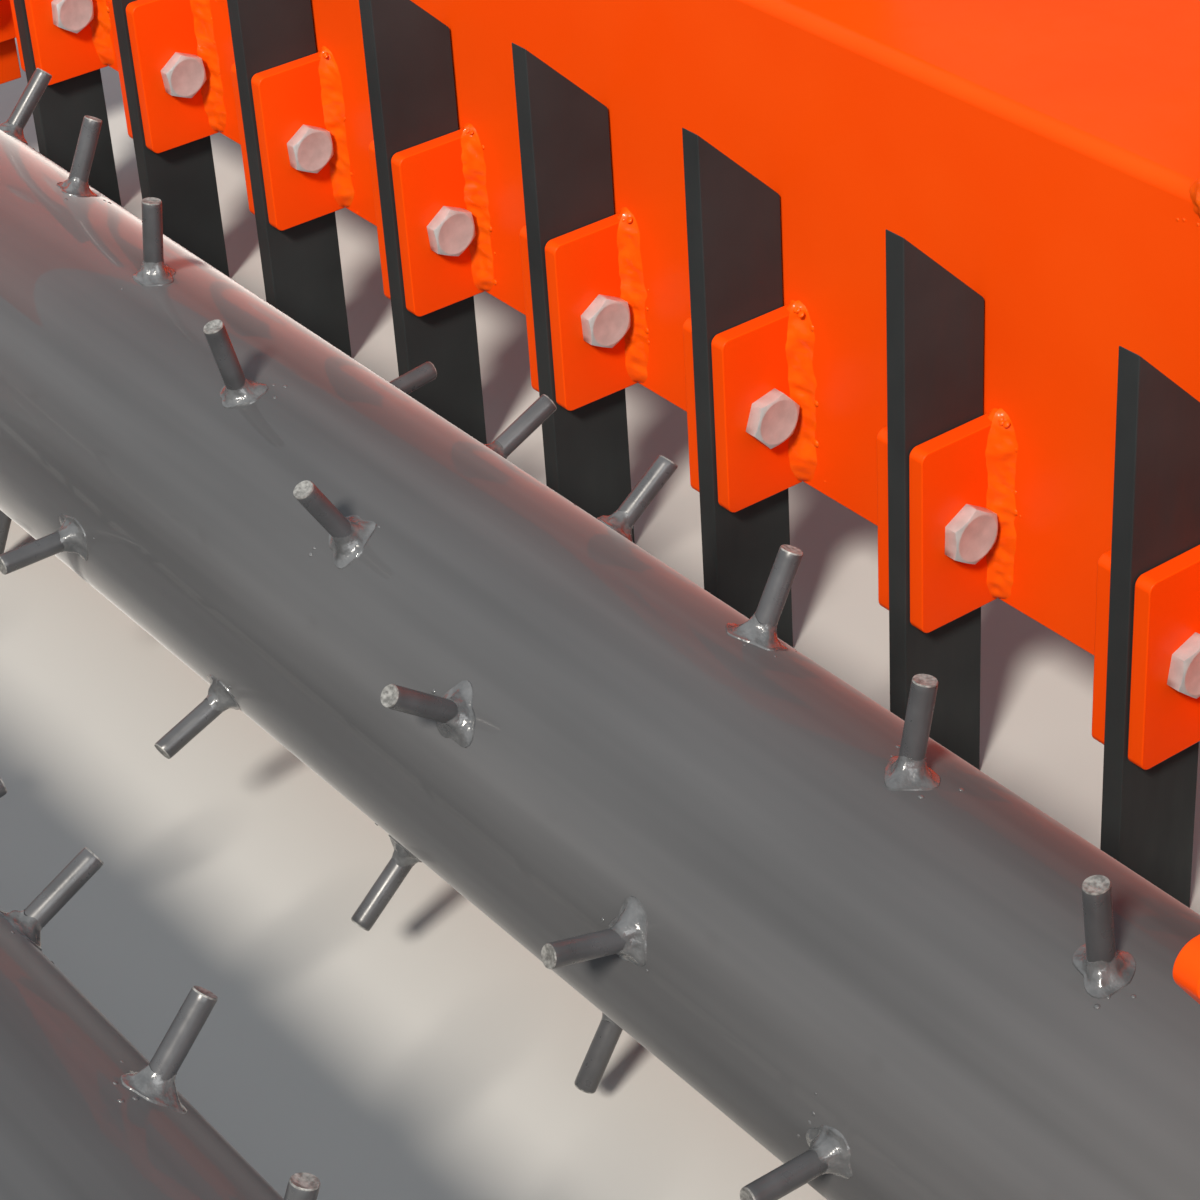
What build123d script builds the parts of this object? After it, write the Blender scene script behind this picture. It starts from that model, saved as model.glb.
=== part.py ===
from build123d import *
import os

# Three-point soil pulverizer: a bent deck carries ten digging shanks between
# welded tabs, and two free-turning pin rollers follow behind it.
# Millimetres. X runs across the machine, its right end at +X. +Y points at the
# tractor and +Z up. Z = 0 is the floor under the shank tips and roller pins.

# Deck, one folded sheet: rear wall, flat top and a short front lip
deck_gauge = 6.0
deck_depth = 300.0
deck_wall = 267.5
lip_height = 70.0
fold_radius = 7.5
fold_inner_radius = 2.0

# Shanks and the pair of tabs that holds each one
shank_count = 10
shank_pitch = 150.0
shank_thick = 12.7
shank_wide = 50.8
shank_length = 328.5
shank_shear = 49.8
shank_wall_gap = 1.5
shank_tab_gap = 0.6
shank_corner = 3.0
tab_thick = 9.6
tab_deep = 50.3
tab_high = 103.0
tab_corner = 5.0
digging_depth = 113.0

# How far each hand-welded set stands off the even pitch, from the left end
set_shift = [0.0, -1.1, 2.0, 5.0, 4.8, -1.0, 0.0, 0.0, 0.0, 0.0]

# Rollers: tube, end discs with stub shafts, and pins in four helical rows
tube_radius = 89.7
tube_wall = 8.0
pin_radius = 5.4
pin_length = 43.3
pin_root = 4.0
pin_sides = 6
pin_step = 134.0
row_middle = -28.7
row_stagger = 63.0
helix_lead = 2570.0
helix_start = 107.5
rear_roller_turn = 69.0
end_gap = 12.0
disc_thick = 8.0
disc_inset = 1.5
shaft_radius = 17.5
shaft_clearance = 0.05
front_axle_back = 244.0
rear_axle_back = 609.0

# Ends: sloped end plates, roller arms outside them, flanged bearings
end_plate_thick = 10.0
end_plate_rise = 53.3
end_plate_back = 422.2
end_plate_foot_back = 178.0
end_plate_front = 12.0
end_plate_toe = 100.0
end_plate_bevel = 48.0
nose_radius = 8.0
end_corner = 20.0
arm_thick = 12.0
arm_front_back = 20.0
arm_rear_reach = 80.0
arm_below_axle = 55.0
arm_above_axle = 72.0
arm_front_rise = 95.0
arm_hole_clearance = 5.0
arm_corner = 50.0
flange_side = 100.0
flange_thick = 12.0
flange_corner = 18.0
boss_radius = 38.0
boss_length = 30.0
shaft_end_inset = 2.0

# Hitch: two lower clevises and an upright mast with a top clevis
lower_spread = 682.0
lower_gap = 42.0
lower_lug_thick = 12.0
lower_hole_radius = 11.2
lower_hole_front = 335.0
lower_hole_rise = 50.0
lower_nose = 38.0
lower_round = 34.0
lower_lug_high = 92.0
outer_lug_start = 9.0
inner_lug_start = 75.0
mast_height = 460.0
top_gap = 52.0
top_lug_thick = 10.0
top_hole_radius = 9.7
top_hole_front = 320.0
top_nose = 32.0
top_round = 28.0
top_lug_back = 165.0
top_lug_high = 172.0
mast_bar_wide = 80.0
mast_bar_thick = 12.0
mast_bar_front = 240.0
mast_foot_x = 255.0
brace_wide = 50.0
brace_thick = 10.0
brace_foot_front = 96.0
brace_bar_gap = 2.0

# Places worked out from the sizes above
deck_half = shank_pitch * shank_count / 2
tube_half = deck_half - end_gap - disc_thick
pin_reach = ((tube_radius + pin_length) ** 2 + pin_radius**2) ** 0.5
axle_z = pin_reach
front_reach = lower_hole_front + lower_nose
rear_reach = rear_axle_back + pin_reach
wall_y = (rear_reach - front_reach) / 2
deck_z = digging_depth + deck_wall
arm_inner_x = deck_half + end_plate_thick
arm_outer_x = arm_inner_x + arm_thick
lower_hole_z = deck_z + lower_hole_rise
top_hole_z = lower_hole_z + mast_height
sides = {"left": -1, "right": 1}


def plate(points, x_from, x_to, corners=()):
    """Plate cut from flat bar: (y, z) outline extruded from x_from to x_to.

    corners lists (index of an outline point, fillet radius); y is counted
    forward from the deck's rear wall.
    """
    outline = [(wall_y + y, z) for y, z in points]
    face = make_face(Polyline(*outline, close=True))
    for index, radius in corners:
        spot = Vector(*outline[index])
        vertex = face.vertices().sort_by_distance(spot)[0]
        face = fillet(vertex, radius)
    thick = extrude(Plane.YZ * face, x_to - x_from)
    return Pos(x_from, 0, 0) * thick


def mirrored(x_low, x_high, side):
    """The x span of a plate on the side -1 or 1 of the machine."""
    return (x_low, x_high) if side > 0 else (-x_high, -x_low)


def cylinder_x(radius, x_from, x_to, y, z):
    """Round bar along X, y counted forward from the rear wall."""
    centre = ((x_from + x_to) / 2, wall_y + y, z)
    return Pos(*centre) * Rot(0, 90, 0) * Cylinder(radius, x_to - x_from)


def tooth_deck():
    """Folded deck sheet, an inverted channel open at the bottom."""
    inner_top = deck_z - deck_gauge
    lip_z = deck_z - lip_height
    inner_front = deck_depth - deck_gauge
    points = [
        (0, digging_depth),
        (0, deck_z),
        (deck_depth, deck_z),
        (deck_depth, lip_z),
        (inner_front, lip_z),
        (inner_front, inner_top),
        (deck_gauge, inner_top),
        (deck_gauge, digging_depth),
    ]
    folds = [(1, fold_radius), (2, fold_radius), (5, fold_inner_radius), (6, fold_inner_radius)]
    return plate(points, -deck_half, deck_half, folds)


def shank_x(index):
    """Middle of a shank, counted from the left end."""
    return shank_pitch * (index + 0.5) - deck_half + set_shift[index]


def shank(x):
    """Flat bar sheared at both ends, its digging point towards the tractor."""
    front = -shank_wall_gap
    back = front - shank_wide
    points = [
        (front, 0),
        (front, shank_length - shank_shear),
        (back, shank_length),
        (back, shank_shear),
    ]
    return plate(points, x - shank_thick / 2, x + shank_thick / 2, [(1, shank_corner)])


def tab_pair(x):
    """The two tabs welded to the rear wall either side of a shank."""
    near = shank_thick / 2 + shank_tab_gap
    top = digging_depth + tab_high
    points = [(0, digging_depth), (0, top), (-tab_deep, top), (-tab_deep, digging_depth)]
    rounds = [(2, tab_corner), (3, tab_corner)]
    left = plate(points, x - near - tab_thick, x - near, rounds)
    right = plate(points, x + near, x + near + tab_thick, rounds)
    return Compound([left, right])


def end_plate(side):
    """Sloped end plate, its rear top corner standing out over the front roller."""
    top = deck_z + end_plate_rise
    front = deck_depth + end_plate_front
    points = [
        (-end_plate_foot_back, digging_depth),
        (-end_plate_back, top),
        (front - end_plate_bevel, top),
        (front, top - end_plate_bevel),
        (front, digging_depth + end_plate_toe),
        (front - end_plate_toe, digging_depth),
    ]
    rounds = [(0, end_corner), (1, nose_radius), (4, end_corner), (5, end_corner)]
    return plate(points, *mirrored(deck_half, arm_inner_x, side), rounds)


def roller_arm(side):
    """Tapered arm that carries both roller bearings outside the end plate."""
    bottom = axle_z - arm_below_axle
    rear_top = axle_z + arm_above_axle
    rear = -rear_axle_back - arm_rear_reach
    points = [
        (-arm_front_back, bottom),
        (-arm_front_back, rear_top + arm_front_rise),
        (-arm_front_back - flange_side, rear_top + arm_front_rise),
        (flange_side - rear_axle_back, rear_top),
        (rear, rear_top),
        (rear, bottom),
    ]
    span = mirrored(arm_inner_x, arm_outer_x, side)
    arm = plate(points, *span, [(2, arm_corner), (4, arm_corner), (5, arm_corner)])
    for back in (front_axle_back, rear_axle_back):
        arm -= cylinder_x(shaft_radius + arm_hole_clearance, *span, -back, axle_z)
    return arm


def roller_bearing(side, back):
    """Square flanged bearing with a round boss and a running bore."""
    flange_end = arm_outer_x + flange_thick
    boss_end = arm_outer_x + boss_length
    half = flange_side / 2
    short = half - flange_corner
    signs = [(-1, -1), (-1, 1), (1, 1), (1, -1)]
    points = []
    for along, up in signs:
        pair = [(-back + along * short, axle_z + up * half), (-back + along * half, axle_z + up * short)]
        points += pair if along == up else pair[::-1]
    housing = plate(points, *mirrored(arm_outer_x, flange_end, side))
    housing += cylinder_x(boss_radius, *mirrored(flange_end, boss_end, side), -back, axle_z)
    bore = shaft_radius + shaft_clearance
    housing -= cylinder_x(bore, *mirrored(arm_outer_x, boss_end, side), -back, axle_z)
    return housing


# Welding scatter of the pins that can be seen; the others stand on the helix.
# Columns: row, place from the row's middle, shift along the tube, turn in degrees
front_pin_scatter = [
    ("a", -3, 1.8, 0.0), ("a", -2, -5.3, -0.1), ("a", -1, -2.2, -1.4), ("a", 0, 2.4, -0.8),
    ("a", 1, 6.9, -2.6), ("a", 2, -5.3, 2.2), ("a", 3, 2.0, 3.7),
    ("b", -1, 10.1, 2.3), ("b", 0, 5.3, 1.8), ("b", 1, -10.0, -3.0), ("b", 2, 2.1, 1.8),
    ("b", 3, -6.3, 0.5), ("b", 4, -1.6, -0.9),
    ("c", -1, 2.0, -3.8), ("c", 0, 1.0, -0.3), ("c", 1, 2.6, 0.3), ("c", 2, 7.5, -3.4),
]
rear_pin_scatter = [("d", 2, -14.0, 0.2), ("d", 3, -2.8, -0.3), ("d", 4, -6.0, 0.0)]

# Columns: row, quarter turns ahead of row a, whether it starts half a step on
pin_rows = [("a", 0, False), ("b", -1, True), ("c", 1, True), ("d", 2, False)]


def roller_pins(turn, scatter):
    """(x, angle) of every pin, the angle counted from +Y towards +Z."""
    moved = {(row, place): (shift, extra) for row, place, shift, extra in scatter}
    pins = []
    for row, quarter, staggered in pin_rows:
        middle = row_middle + (row_stagger if staggered else 0.0)
        each_side = int((tube_half - abs(middle)) // pin_step)
        for place in range(-each_side, each_side + 1):
            shift, extra = moved.get((row, place), (0.0, 0.0))
            x = middle + pin_step * place + shift
            angle = turn + 90 * quarter + 360 * x / helix_lead + extra
            pins.append((x, angle))
    return pins


def roller_drum(back, turn, scatter):
    """Roller tube with its welded pins."""
    drum = cylinder_x(tube_radius, -tube_half, tube_half, -back, axle_z)
    pin_bar = extrude(RegularPolygon(pin_radius, pin_sides), pin_length + pin_root)
    stand = tube_radius - pin_root
    studs = []
    for x, angle in roller_pins(turn, scatter):
        place = Pos(x, wall_y - back, axle_z) * Rot(angle - 90, 0, 0) * Pos(0, 0, stand)
        studs.append(place * pin_bar)
    drum = drum.fuse(*studs)
    return drum - cylinder_x(tube_radius - tube_wall, -tube_half, tube_half, -back, axle_z)


def roller_ends(back):
    """End discs welded on the tube, each with its stub shaft."""
    disc_end = tube_half + disc_thick
    shaft_end = arm_outer_x + boss_length - shaft_end_inset
    ends = []
    for side in sides.values():
        disc_span = mirrored(tube_half, disc_end, side)
        shaft_span = mirrored(disc_end, shaft_end, side)
        end = cylinder_x(tube_radius - disc_inset, *disc_span, -back, axle_z)
        end += cylinder_x(shaft_radius, *shaft_span, -back, axle_z)
        ends.append(end)
    return Compound(ends)


def lower_lug(side, outer):
    """Plate of a lower clevis, standing on the deck and reaching past its lip."""
    middle = side * lower_spread / 2
    away = side if outer else -side
    near = middle + away * lower_gap / 2
    far = near + away * lower_lug_thick
    start = outer_lug_start if outer else inner_lug_start
    front = lower_hole_front + lower_nose
    top = deck_z + lower_lug_high
    points = [
        (start, deck_z),
        (start, deck_z + deck_gauge),
        (start + 2 * lower_lug_high, top),
        (front, top),
        (front, lower_hole_z - lower_nose / 2),
        (deck_depth, deck_z),
    ]
    span = (min(near, far), max(near, far))
    lug = plate(points, *span, [(3, lower_round)])
    return lug - cylinder_x(lower_hole_radius, *span, lower_hole_front, lower_hole_z)


def top_lug(side):
    """Plate of the top clevis."""
    span = mirrored(top_gap / 2, top_gap / 2 + top_lug_thick, side)
    front = top_hole_front + top_nose
    top = top_hole_z + top_nose
    points = [
        (top_lug_back, top - top_lug_high),
        (top_lug_back, top - top_nose),
        (top_lug_back + top_nose, top),
        (front, top),
        (front, top_hole_z - top_nose),
        (mast_bar_front, top - top_lug_high),
    ]
    lug = plate(points, *span, [(3, top_round), (4, top_round)])
    return lug - cylinder_x(top_hole_radius, *span, top_hole_front, top_hole_z)


def mast_bar(side):
    """Flat bar from the deck up to the top clevis, seen as half of an A."""
    lug_x = top_gap / 2 + top_lug_thick
    top = top_hole_z + top_nose / 2
    lug_mid = top_hole_z - top_nose
    lean = (mast_foot_x - lug_x) / (lug_mid - deck_z)
    slant = (1 + lean**2) ** 0.5
    half_foot = mast_bar_wide * slant / 2
    cut_z = lug_mid - half_foot / lean
    points = [
        (lug_x, cut_z),
        (mast_foot_x - half_foot, deck_z),
        (mast_foot_x + half_foot, deck_z),
        (mast_foot_x + half_foot - lean * (top - deck_z), top),
        (lug_x, top),
    ]
    outline = [(side * x, z) for x, z in points]
    face = make_face(Polyline(*outline, close=True))
    bar = extrude(Plane.XZ * face, mast_bar_thick)
    front = wall_y + mast_bar_front
    return Pos(0, front, 0) * bar


def mast_brace(side):
    """Flat bar from the top clevis back down to the deck."""
    lug_x = top_gap / 2 + top_lug_thick
    span = mirrored(lug_x, lug_x + brace_thick, side)
    top = top_hole_z - top_nose / 2
    top_front = mast_bar_front - mast_bar_thick - brace_bar_gap
    lean = (top_front - brace_foot_front) / (top - deck_z)
    level_wide = brace_wide * (1 + lean**2) ** 0.5
    points = [
        (brace_foot_front - level_wide, deck_z),
        (brace_foot_front, deck_z),
        (top_front, top),
        (top_front - level_wide, top),
    ]
    return plate(points, *span)


def build_nodes():
    """Every node of the machine by its name."""
    nodes = {"tooth_deck": tooth_deck()}
    for index in range(shank_count):
        nodes[f"shank_{index + 1:02d}"] = shank(shank_x(index))
        nodes[f"tab_pair_{index + 1:02d}"] = tab_pair(shank_x(index))
    for name, side in sides.items():
        nodes[f"end_plate_{name}"] = end_plate(side)
        nodes[f"roller_arm_{name}"] = roller_arm(side)
        nodes[f"front_bearing_{name}"] = roller_bearing(side, front_axle_back)
        nodes[f"rear_bearing_{name}"] = roller_bearing(side, rear_axle_back)
        nodes[f"lower_lug_outer_{name}"] = lower_lug(side, True)
        nodes[f"lower_lug_inner_{name}"] = lower_lug(side, False)
        nodes[f"top_lug_{name}"] = top_lug(side)
        nodes[f"mast_bar_{name}"] = mast_bar(side)
        nodes[f"mast_brace_{name}"] = mast_brace(side)
    rear_turn = helix_start + rear_roller_turn
    nodes["front_roller_drum"] = roller_drum(front_axle_back, helix_start, front_pin_scatter)
    nodes["front_roller_ends"] = roller_ends(front_axle_back)
    nodes["rear_roller_drum"] = roller_drum(rear_axle_back, rear_turn, rear_pin_scatter)
    nodes["rear_roller_ends"] = roller_ends(rear_axle_back)
    return nodes


os.makedirs("parts", exist_ok=True)
for name, solid in build_nodes().items():
    export_step(solid, f"parts/{name}.step")
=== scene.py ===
import math
import random

import bmesh
import bpy
from mathutils import Matrix, Vector, noise


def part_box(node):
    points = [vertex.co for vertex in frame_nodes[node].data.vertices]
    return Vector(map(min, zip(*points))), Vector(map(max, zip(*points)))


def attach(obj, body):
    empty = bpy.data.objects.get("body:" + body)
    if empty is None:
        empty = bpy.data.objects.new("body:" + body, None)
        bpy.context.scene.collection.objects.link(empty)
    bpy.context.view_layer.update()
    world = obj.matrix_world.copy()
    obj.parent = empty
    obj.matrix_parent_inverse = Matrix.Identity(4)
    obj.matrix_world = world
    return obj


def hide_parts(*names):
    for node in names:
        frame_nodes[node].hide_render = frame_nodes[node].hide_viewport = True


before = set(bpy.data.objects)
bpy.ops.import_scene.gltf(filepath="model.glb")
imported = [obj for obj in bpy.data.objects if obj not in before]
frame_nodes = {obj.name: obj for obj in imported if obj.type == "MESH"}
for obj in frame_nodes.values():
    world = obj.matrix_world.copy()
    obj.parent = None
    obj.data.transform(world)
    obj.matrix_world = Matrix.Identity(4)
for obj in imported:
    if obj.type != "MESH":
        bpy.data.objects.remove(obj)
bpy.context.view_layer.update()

# Soil pulverizer: orange powder-coated deck and hitch, black digging shanks,
# and two grey pin rollers. All sizes in metres, X across, +Y to the tractor.
MM = 0.001

# Where the photograph was taken from
CAMERA_PLACE = Vector((1.20236, -0.72246, 0.98831))
CAMERA_AIM = Vector((0.13403, 0.01813, 0.133))
CAMERA_ROLL = math.radians(-3.98)
CAMERA_LENS = 94.62
SENSOR_WIDTH = 36.0

# Edges eased by cutting and by the paint that lies over them
SHEET_EDGE = 0.6 * MM
PLATE_EDGE = 0.7 * MM
SHANK_EDGE = 0.7 * MM

# Least bends that count as a cut edge and as a sharp one, and the most that is still flat
CUT_ANGLE = math.radians(35)
SHARP_ANGLE = math.radians(50)
FLAT_ANGLE = math.radians(1)

# Bolts: across flats, head height, bolt radius, and how far the end stands past the nut.
# A bearing's bolts show only their heads.
SHANK_BOLT = (27 * MM, 9 * MM, 9 * MM, 6 * MM)
ARM_BOLT = (24 * MM, 9 * MM, 8 * MM, 1 * MM)
BEARING_HEAD = (19 * MM, 7.5 * MM)
NUT_TO_HEAD = 1.2
CROWN_TO_FLATS = 0.94
CROWN_SLOPE = math.tan(math.radians(28))
THREAD_PITCH = 2.5 * MM
THREAD_ROOT = 0.9

# Where the bolts sit: from the tabs' front and foot, from the rear wall and the ground,
# and in from the edge of a bearing's flange
SHANK_BOLT_BACK = 22.3 * MM
SHANK_BOLT_UP = 49.4 * MM
SHANK_BOLT_TURNS = [-4, 6, 3, 5, 3, -18, -1, -9, 12, 22]
ARM_BOLTS_BACK = (48 * MM, 98 * MM)
ARM_BOLTS_UP = (150 * MM, 262 * MM)
BEARING_BOLT_IN = 16 * MM

# Fillet welds: how far each reaches over its two surfaces
TAB_WELD = (11.5 * MM, 8 * MM)
CAP_WELD = (6 * MM, 5 * MM)
HITCH_WELD = (10 * MM, 10 * MM)
BAR_WELD = (8 * MM, 8 * MM)
RIPPLE_PITCH = 4.6 * MM
WELD_SINK = 0.12
WELD_TAPER = 1.9
HEEL_SIZE = (13 * MM, 6.6 * MM, 11 * MM)

# Where welds start and stop: the cap's two ends from a tab's outer face, how far behind a
# lug and short of the deck's front its weld ends, how far it wraps past the lug's faces, how
# far short of a plate's and a top lug's ends theirs stop, and how long the feet are
CAP_SPAN = (-8 * MM, 5 * MM)
LUG_WELD_ENDS = (-6 * MM, 12 * MM)
LUG_WELD_WRAP = 2 * MM
PLATE_WELD_ENDS = (6 * MM, 8 * MM)
TOP_WELD_ENDS = (12 * MM, 6 * MM)
BRACE_FOOT = 62 * MM
MAST_FOOT = 92 * MM

# Pins of the rollers: how deep a bar starts in the tube, how far its end is sheared askew,
# and, on the roller's node, how far out a pin's tip starts and how near its corners lie
PIN_RADIUS = 5.35 * MM
PIN_ROOT = 3 * MM
PIN_SHEAR = 0.5 * MM
PIN_LEAST_REACH = 30 * MM
PIN_TIP_SPREAD = 16 * MM

# Skirt of weld round each pin's foot
PIN_WELD_WIDTH = 6.8 * MM
PIN_WELD_HEIGHT = 8 * MM
PIN_WELD_RINGS = 11

# Roller ends
TUBE_EDGE = 1 * MM
SHAFT_RADIUS = 17.5 * MM
DISC_THICK = 8 * MM
END_BEAD = 3 * MM
END_BEAD_RIPPLES = 90

# Flanged bearings
FLANGE_THICK = 12 * MM
FLANGE_CORNER = 1.23
BEARING_BORE = 17.55 * MM
BEARING_BOSS = 38 * MM

# Sun that stands behind the machine on its right, and the wide lamp that softens it
TO_SUN = Vector((0.41, -0.61, 0.67))
SUN_STRENGTH = 3.35
SUN_ANGLE = math.radians(9)
TO_FILL = Vector((0.9, -0.18, 0.4))
FILL_STRENGTH = 0.9
FILL_ANGLE = math.radians(38)
LAMP_AWAY = 4
FLOOR_HALF = 12

# Places of the two colours and of the result on a colour mix node
MIX_LOW, MIX_HIGH, MIX_RESULT = 6, 7, 2

deck_low, deck_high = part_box("tooth_deck")
wall_y, top_z = deck_low.y, deck_high.z
sides = {"left": -1, "right": 1}
UP = (0, 0, 1)
REARWARD = (0, -1, 0)


def colour(code):
    """Linear colour of an sRGB hex code."""
    parts = [int(code[place:place + 2], 16) / 255 for place in (1, 3, 5)]
    linear = [part / 12.92 if part <= 0.04045 else ((part + 0.055) / 1.055) ** 2.4
              for part in parts]
    return (*linear, 1.0)


def fit(tree, node, inputs):
    """Sets a node's inputs, from pairs of socket and value or of socket and link."""
    for socket, value in inputs:
        if isinstance(value, bpy.types.NodeSocket):
            tree.links.new(value, node.inputs[socket])
        else:
            node.inputs[socket].default_value = value


def add(tree, kind, inputs=(), stops=(), **settings):
    """Adds a node with its settings and links; stops are a ramp's (position, hex code)."""
    node = tree.nodes.new(kind)
    for name, value in settings.items():
        setattr(node, name, value)
    fit(tree, node, inputs)
    if stops:
        elements = node.color_ramp.elements
        while len(elements) < len(stops):
            elements.new(0.5)
        for element, (position, code) in zip(elements, stops):
            element.position = position
            element.color = colour(code)
    return node


def start_finish(name):
    """New material: its node tree, its shader and the object's own coordinates."""
    material = bpy.data.materials.new(name)
    material.use_nodes = True
    tree = material.node_tree
    shader = tree.nodes["Principled BSDF"]
    place = add(tree, "ShaderNodeTexCoord").outputs["Object"]
    return material, tree, shader, place


def waves(tree, place, size, detail=2.0, stretch=(1, 1, 1)):
    """Noise whose humps are about size metres apart."""
    mapped = add(tree, "ShaderNodeMapping", [("Vector", place), ("Scale", stretch)])
    inputs = [("Vector", mapped.outputs["Vector"]), ("Scale", 1 / size), ("Detail", detail)]
    return add(tree, "ShaderNodeTexNoise", inputs).outputs["Fac"]


def clouded(tree, place, size, stops, detail=2.0):
    """Colour that drifts through its stops in clouds about size metres apart."""
    cloud = waves(tree, place, size, detail)
    return add(tree, "ShaderNodeValToRGB", [("Fac", cloud)], stops).outputs["Color"]


def patchy(tree, place, size, low, high, detail=4.0, stretch=(1, 1, 1)):
    """Value that drifts from low to high in patches about size metres apart."""
    inputs = [("Value", waves(tree, place, size, detail, stretch)),
              ("From Min", 0.3), ("From Max", 0.7), ("To Min", low), ("To Max", high)]
    return add(tree, "ShaderNodeMapRange", inputs).outputs["Result"]


def relief(tree, layers):
    """Bump from (height, strength, depth) layers, one over the other."""
    normal = None
    for height, strength, depth in layers:
        inputs = [("Height", height), ("Strength", strength), ("Distance", depth)]
        if normal is not None:
            inputs.append(("Normal", normal))
        normal = add(tree, "ShaderNodeBump", inputs).outputs["Normal"]
    return normal


def orange_powder_coat():
    """Polyester powder coat baked on sheet steel: even, saturated orange with a soft gloss."""
    material, tree, shader, place = start_finish("orange_powder_coat")
    peel = waves(tree, place, 2.6 * MM, 1.0)
    rolled = waves(tree, place, 60 * MM, 1.0)
    fit(tree, shader, [
        ("Base Color", clouded(tree, place, 90 * MM, [(0.3, "#fd4e07"), (0.7, "#ff530b")])),
        ("Roughness", patchy(tree, place, 14 * MM, 0.28, 0.38, 3.0)),
        ("Normal", relief(tree, [(rolled, 0.12, 0.3 * MM), (peel, 0.15, 0.04 * MM)])),
        ("IOR", 1.5),
        ("Specular IOR Level", 0.09),
    ])
    return material


def powder_coat_on_weld():
    """The same powder coat where it has run thick and glossy over a weld bead; its lighter,
    yellower orange is painted highlight.
    """
    material, tree, shader, place = start_finish("powder_coat_on_weld")
    lumps = waves(tree, place, 5 * MM)
    pits = waves(tree, place, 1.6 * MM)
    fit(tree, shader, [
        # Lighter and yellower than the plate's orange: painted highlight.
        ("Base Color", clouded(tree, place, 12 * MM, [(0.3, "#fb5406"), (0.7, "#ff650c")])),
        ("Normal", relief(tree, [(lumps, 0.45, 0.6 * MM), (pits, 0.2, 0.12 * MM)])),
        ("Roughness", 0.3),
        ("Specular IOR Level", 0.12),
        ("Coat Weight", 0.24),
        ("Coat Roughness", 0.08),
    ])
    return material


def black_shank_paint():
    """Satin black paint on hot-rolled flat bar: faint long mill marks under it."""
    material, tree, shader, place = start_finish("black_shank_paint")
    mill = waves(tree, place, 2.2 * MM, 3.0, (1, 1, 0.12))
    grain = waves(tree, place, 1.2 * MM, 1.0)
    stops = [(0.25, "#2c2f30"), (0.75, "#363a3b")]
    fit(tree, shader, [
        ("Base Color", clouded(tree, place, 60 * MM, stops, 3.0)),
        ("Roughness", patchy(tree, place, 9 * MM, 0.48, 0.62, stretch=(1, 1, 0.25))),
        ("Normal", relief(tree, [(mill, 0.15, 0.1 * MM), (grain, 0.12, 0.04 * MM)])),
        ("IOR", 1.5),
        ("Specular IOR Level", 0.2),
    ])
    return material


def grey_roller_enamel():
    """Grey enamel sprayed on drawn tube under a thin clear skin that mirrors; the long light and
    dark bands in its colour are painted reflections.
    """
    material, tree, shader, place = start_finish("grey_roller_enamel")
    cloud = waves(tree, place, 150 * MM, 3.0, (0.4, 1, 1))
    # Long lighter and darker bands along the tube are painted reflections, mixed with its own
    # cloudy tone.
    reflection_streaks = waves(tree, place, 34 * MM, 3.0, (0.03, 1, 1))
    reflection_streak_part = add(tree, "ShaderNodeMath", [(0, reflection_streaks), (1, 0.65)], operation="MULTIPLY")
    both = [(0, cloud), (1, 0.35), (2, reflection_streak_part.outputs["Value"])]
    tone_and_reflection_bands = add(tree, "ShaderNodeMath", both, operation="MULTIPLY_ADD").outputs["Value"]
    stops = [(0.36, "#4c4d4f"), (0.64, "#636466")]
    drawn = waves(tree, place, 40 * MM, 1.0, (0.2, 1, 1))
    peel = waves(tree, place, 2.4 * MM, 1.0)
    fit(tree, shader, [
        ("Base Color", add(tree, "ShaderNodeValToRGB", [("Fac", tone_and_reflection_bands)], stops).outputs["Color"]),
        ("Roughness", patchy(tree, place, 40 * MM, 0.36, 0.46)),
        ("Normal", relief(tree, [(drawn, 0.2, 0.3 * MM), (peel, 0.12, 0.04 * MM)])),
        ("Coat Normal", relief(tree, [(drawn, 0.03, 0.3 * MM)])),
        ("IOR", 1.5),
        ("Specular IOR Level", 0.08),
        ("Coat Weight", 0.3),
        ("Coat Roughness", 0.025),
        ("Sheen Weight", 0.36),
        ("Sheen Roughness", 0.34),
    ])
    return material


def grey_pin_enamel():
    """The roller's enamel on the round bar of the pins, made darker than the tube's as painted
    shade.
    """
    material, tree, shader, place = start_finish("grey_pin_enamel")
    grain = waves(tree, place, 1.5 * MM, 3.0)
    # Darker than the tube's enamel: painted shade.
    stops = [(0.3, "#3f4042"), (0.7, "#535457")]
    fit(tree, shader, [
        ("Base Color", clouded(tree, place, 25 * MM, stops, 4.0)),
        ("Roughness", patchy(tree, place, 6 * MM, 0.24, 0.4)),
        ("Normal", relief(tree, [(grain, 0.3, 0.08 * MM)])),
        ("Specular IOR Level", 0.8),
    ])
    return material


def enamel_on_sheared_end():
    """Enamel on the sheared end of a pin: torn, rough steel that shows pale through it; its pale
    colour is partly painted highlight of light on the end faces.
    """
    material, tree, shader, place = start_finish("enamel_on_sheared_end")
    torn = waves(tree, place, 2.2 * MM, 5.0)
    # Pale partly from the bare steel and partly as painted highlight.
    stops = [(0.35, "#6c6c6a"), (0.65, "#a5a5a2")]
    fit(tree, shader, [
        ("Base Color", add(tree, "ShaderNodeValToRGB", [("Fac", torn)], stops).outputs["Color"]),
        ("Normal", relief(tree, [(torn, 0.8, 0.5 * MM)])),
        ("Roughness", 0.42),
        ("Metallic", 0.15),
    ])
    return material


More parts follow.
